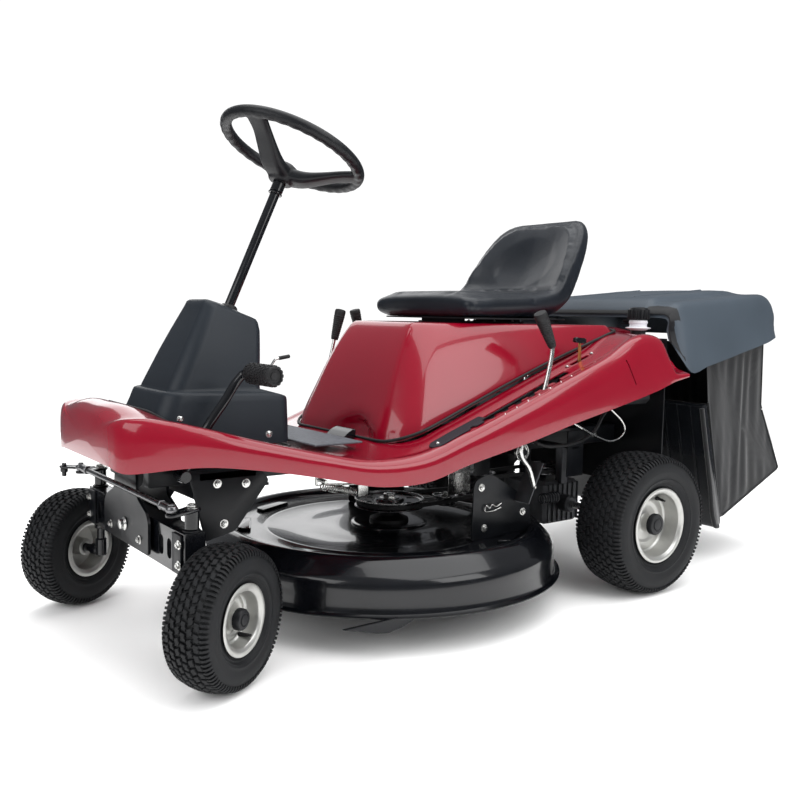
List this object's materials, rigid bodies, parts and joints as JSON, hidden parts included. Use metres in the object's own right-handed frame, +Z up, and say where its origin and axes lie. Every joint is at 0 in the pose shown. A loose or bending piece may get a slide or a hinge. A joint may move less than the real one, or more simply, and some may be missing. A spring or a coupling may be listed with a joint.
{
  "type": "riding lawn mower",
  "caption": "Ride-on rotary mower: steered front axle, height-set round cutting deck, belt drives, sprung pedal, tipping seat and hood, rear grass bag that tips up.",
  "frame": {"origin": "on the ground under the middle of the whole machine", "axes": "+Z up, the nose towards -Y, the driver's left hand towards +X"},
  "size_m": [0.92, 2.1352, 1.1664],
  "materials": {
    "red_paint": "gloss",
    "black_paint": "gloss",
    "cast_black": "matte",
    "cast_alloy": "matte",
    "bright_steel": "satin",
    "rim_silver": "satin",
    "brass_blade": "satin",
    "black_plastic": "matte",
    "grey_plastic": "matte",
    "white_plastic": "satin",
    "tread_rubber": "matte",
    "soft_rubber": "matte",
    "seat_vinyl": "satin",
    "bag_cloth": "matte"
  },
  "bodies": {
    "chassis": {"chassis_frame": "black_paint", "engine": "cast_alloy", "battery": "black_plastic", "fuel_tank": "white_plastic", "fuel_hose": "soft_rubber", "throttle_cable": "soft_rubber", "transaxle": "cast_alloy", "discharge_chute": "black_plastic", "rear_plate": "black_paint", "body_tub": "red_paint", "console_cover": "black_plastic", "footwell_mat": "soft_rubber", "height_gate": "black_plastic", "drive_belt": "soft_rubber", "blade_belt": "soft_rubber", "hood_latch": "black_plastic", "lift_spring": "bright_steel"},
    "front_axle": {"front_axle_beam": "black_paint"},
    "tie_rod": {"tie_rod": "bright_steel"},
    "knuckle_left": {"knuckle_left": "black_paint"},
    "knuckle_right": {"knuckle_right": "black_paint"},
    "wheel_front_left": {"tyre_front_left": "tread_rubber", "rim_front_left": "rim_silver", "hub_cap_front_left": "black_plastic"},
    "wheel_front_right": {"tyre_front_right": "tread_rubber", "rim_front_right": "rim_silver", "hub_cap_front_right": "black_plastic"},
    "wheel_rear_left": {"tyre_rear_left": "tread_rubber", "rim_rear_left": "rim_silver", "hub_cap_rear_left": "black_plastic", "axle_shaft_left": "bright_steel"},
    "wheel_rear_right": {"tyre_rear_right": "tread_rubber", "rim_rear_right": "rim_silver", "hub_cap_rear_right": "black_plastic", "axle_shaft_right": "bright_steel"},
    "steering": {"steering_wheel": "black_plastic", "steering_shaft": "black_paint"},
    "pedal": {"pedal_arm": "black_paint", "pedal_pad": "soft_rubber"},
    "brake_latch": {"brake_latch": "bright_steel"},
    "height_lever": {"height_lever": "bright_steel", "height_grip": "soft_rubber"},
    "throttle": {"throttle_lever": "brass_blade"},
    "shift": {"shift_lever": "bright_steel"},
    "clutch": {"clutch_lever": "bright_steel"},
    "fuel_cap": {"fuel_cap": "black_plastic"},
    "hood": {"hood": "red_paint", "seat_bracket": "black_paint"},
    "seat": {"seat": "seat_vinyl"},
    "deck": {"deck_shell": "black_paint", "spindle_housing": "cast_black", "idler_pulley": "bright_steel"},
    "blade": {"blade_spindle": "bright_steel", "mower_blade": "bright_steel", "spindle_pulley": "bright_steel"},
    "crank": {"engine_pulley": "bright_steel"},
    "drive": {"transaxle_pulley": "bright_steel"},
    "bag": {"bag_lid": "grey_plastic", "bag_fabric": "bag_cloth", "bag_front_frame": "black_plastic"}
  },
  "joints": [
    {"name": "front_axle_pivot", "type": "hinge", "parent": "chassis", "child": "front_axle", "pos_m": [0, -0.89675, 0.262], "axis": [0, 1, 0], "range_deg": [-6, 6]},
    {"name": "steering_column", "type": "hinge", "parent": "chassis", "child": "steering", "pos_m": [0, -0.532, 1.087], "axis": [0, 0.4067, 0.9135], "range_deg": [-175, 25]},
    {"name": "steer_left", "type": "hinge", "parent": "front_axle", "child": "knuckle_left", "pos_m": [0.2625, -0.89675, 0.14], "axis": [0, 0, 1], "range_deg": [-61.45, 8.95]},
    {"name": "steer_right", "type": "hinge", "parent": "front_axle", "child": "knuckle_right", "pos_m": [-0.2625, -0.89675, 0.14], "axis": [0, 0, 1], "range_deg": [-54.28, 7.92]},
    {"name": "tie_rod_slide", "type": "slide", "parent": "front_axle", "child": "tie_rod", "axis": [1, 0, 0], "range_m": [-0.0614, 0.009]},
    {"name": "spin_front_left", "type": "hinge", "parent": "knuckle_left", "child": "wheel_front_left", "pos_m": [0.33072, -0.85893, 0.14], "axis": [0.8746, 0.4848, 0], "continuous": true},
    {"name": "spin_front_right", "type": "hinge", "parent": "knuckle_right", "child": "wheel_front_right", "pos_m": [-0.33284, -0.93045, 0.14], "axis": [0.9018, 0.4321, 0], "continuous": true},
    {"name": "spin_rear_left", "type": "hinge", "parent": "chassis", "child": "wheel_rear_left", "pos_m": [0.3585, 0.32675, 0.184], "axis": [1, 0, 0], "continuous": true},
    {"name": "spin_rear_right", "type": "hinge", "parent": "chassis", "child": "wheel_rear_right", "pos_m": [-0.3585, 0.32675, 0.184], "axis": [1, 0, 0], "continuous": true},
    {"name": "pedal_press", "type": "hinge", "parent": "chassis", "child": "pedal", "pos_m": [0.17, -0.875, 0.385], "axis": [1, 0, 0], "range_deg": [0, 18], "stiffness_Nm_per_rad": 12, "springref_deg": -17.19},
    {"name": "brake_latch_tip", "type": "hinge", "parent": "chassis", "child": "brake_latch", "pos_m": [0, -0.62, 0.56], "axis": [1, 0, 0], "range_deg": [0, 30]},
    {"name": "height_lever_swing", "type": "hinge", "parent": "chassis", "child": "height_lever", "pos_m": [0.27, -0.035, 0.274], "axis": [1, 0, 0], "range_deg": [-8, 38]},
    {"name": "deck_lift", "type": "slide", "parent": "chassis", "child": "deck", "axis": [0, 0, 1], "range_m": [-0.0503, 0.0108], "deforming": ["blade_belt"]},
    {"name": "throttle_swing", "type": "hinge", "parent": "chassis", "child": "throttle", "pos_m": [0.29, 0.144, 0.6], "axis": [1, 0, 0], "range_deg": [-20, 20]},
    {"name": "shift_swing", "type": "hinge", "parent": "chassis", "child": "shift", "pos_m": [-0.262, -0.313, 0.345], "axis": [1, 0, 0], "range_deg": [-2, 12]},
    {"name": "clutch_swing", "type": "hinge", "parent": "chassis", "child": "clutch", "pos_m": [-0.28, -0.07, 0.4], "axis": [1, 0, 0], "range_deg": [-12, 1.5]},
    {"name": "fuel_cap_turn", "type": "hinge", "parent": "chassis", "child": "fuel_cap", "pos_m": [0.22, 0.459, 0.714], "axis": [0, 0, 1], "range_deg": [0, 360]},
    {"name": "hood_open", "type": "hinge", "parent": "chassis", "child": "hood", "pos_m": [0, 0.355, 0.69], "axis": [-1, 0, 0], "range_deg": [0, 30]},
    {"name": "seat_tilt", "type": "hinge", "parent": "hood", "child": "seat", "pos_m": [0, -0.156, 0.712], "axis": [1, 0, 0], "range_deg": [0, 40]},
    {"name": "crank_spin", "type": "hinge", "parent": "chassis", "child": "crank", "pos_m": [0, 0.075, 0.233], "axis": [0, 0, 1], "continuous": true},
    {"name": "blade_spin", "type": "hinge", "parent": "deck", "child": "blade", "pos_m": [0, -0.235, 0.108], "axis": [0, 0, 1], "continuous": true},
    {"name": "drive_spin", "type": "hinge", "parent": "chassis", "child": "drive", "pos_m": [0, 0.32675, 0.272], "axis": [0, 0, 1], "continuous": true},
    {"name": "bag_tip", "type": "hinge", "parent": "chassis", "child": "bag", "pos_m": [0, 0.507, 0.728], "axis": [1, 0, 0], "range_deg": [0, 65]}
  ],
  "couplings": [
    {"joint": "steer_left", "follows": "steering_column", "ratio": 0.35},
    {"joint": "steer_right", "follows": "steering_column", "ratio": 0.309},
    {"joint": "tie_rod_slide", "follows": "steering_column", "m_per_rad": 0.02},
    {"joint": "deck_lift", "follows": "height_lever_swing", "m_per_rad": -0.0754},
    {"joint": "blade_spin", "follows": "crank_spin", "ratio": 0.4231},
    {"joint": "drive_spin", "follows": "crank_spin", "ratio": 0.6875}
  ]
}
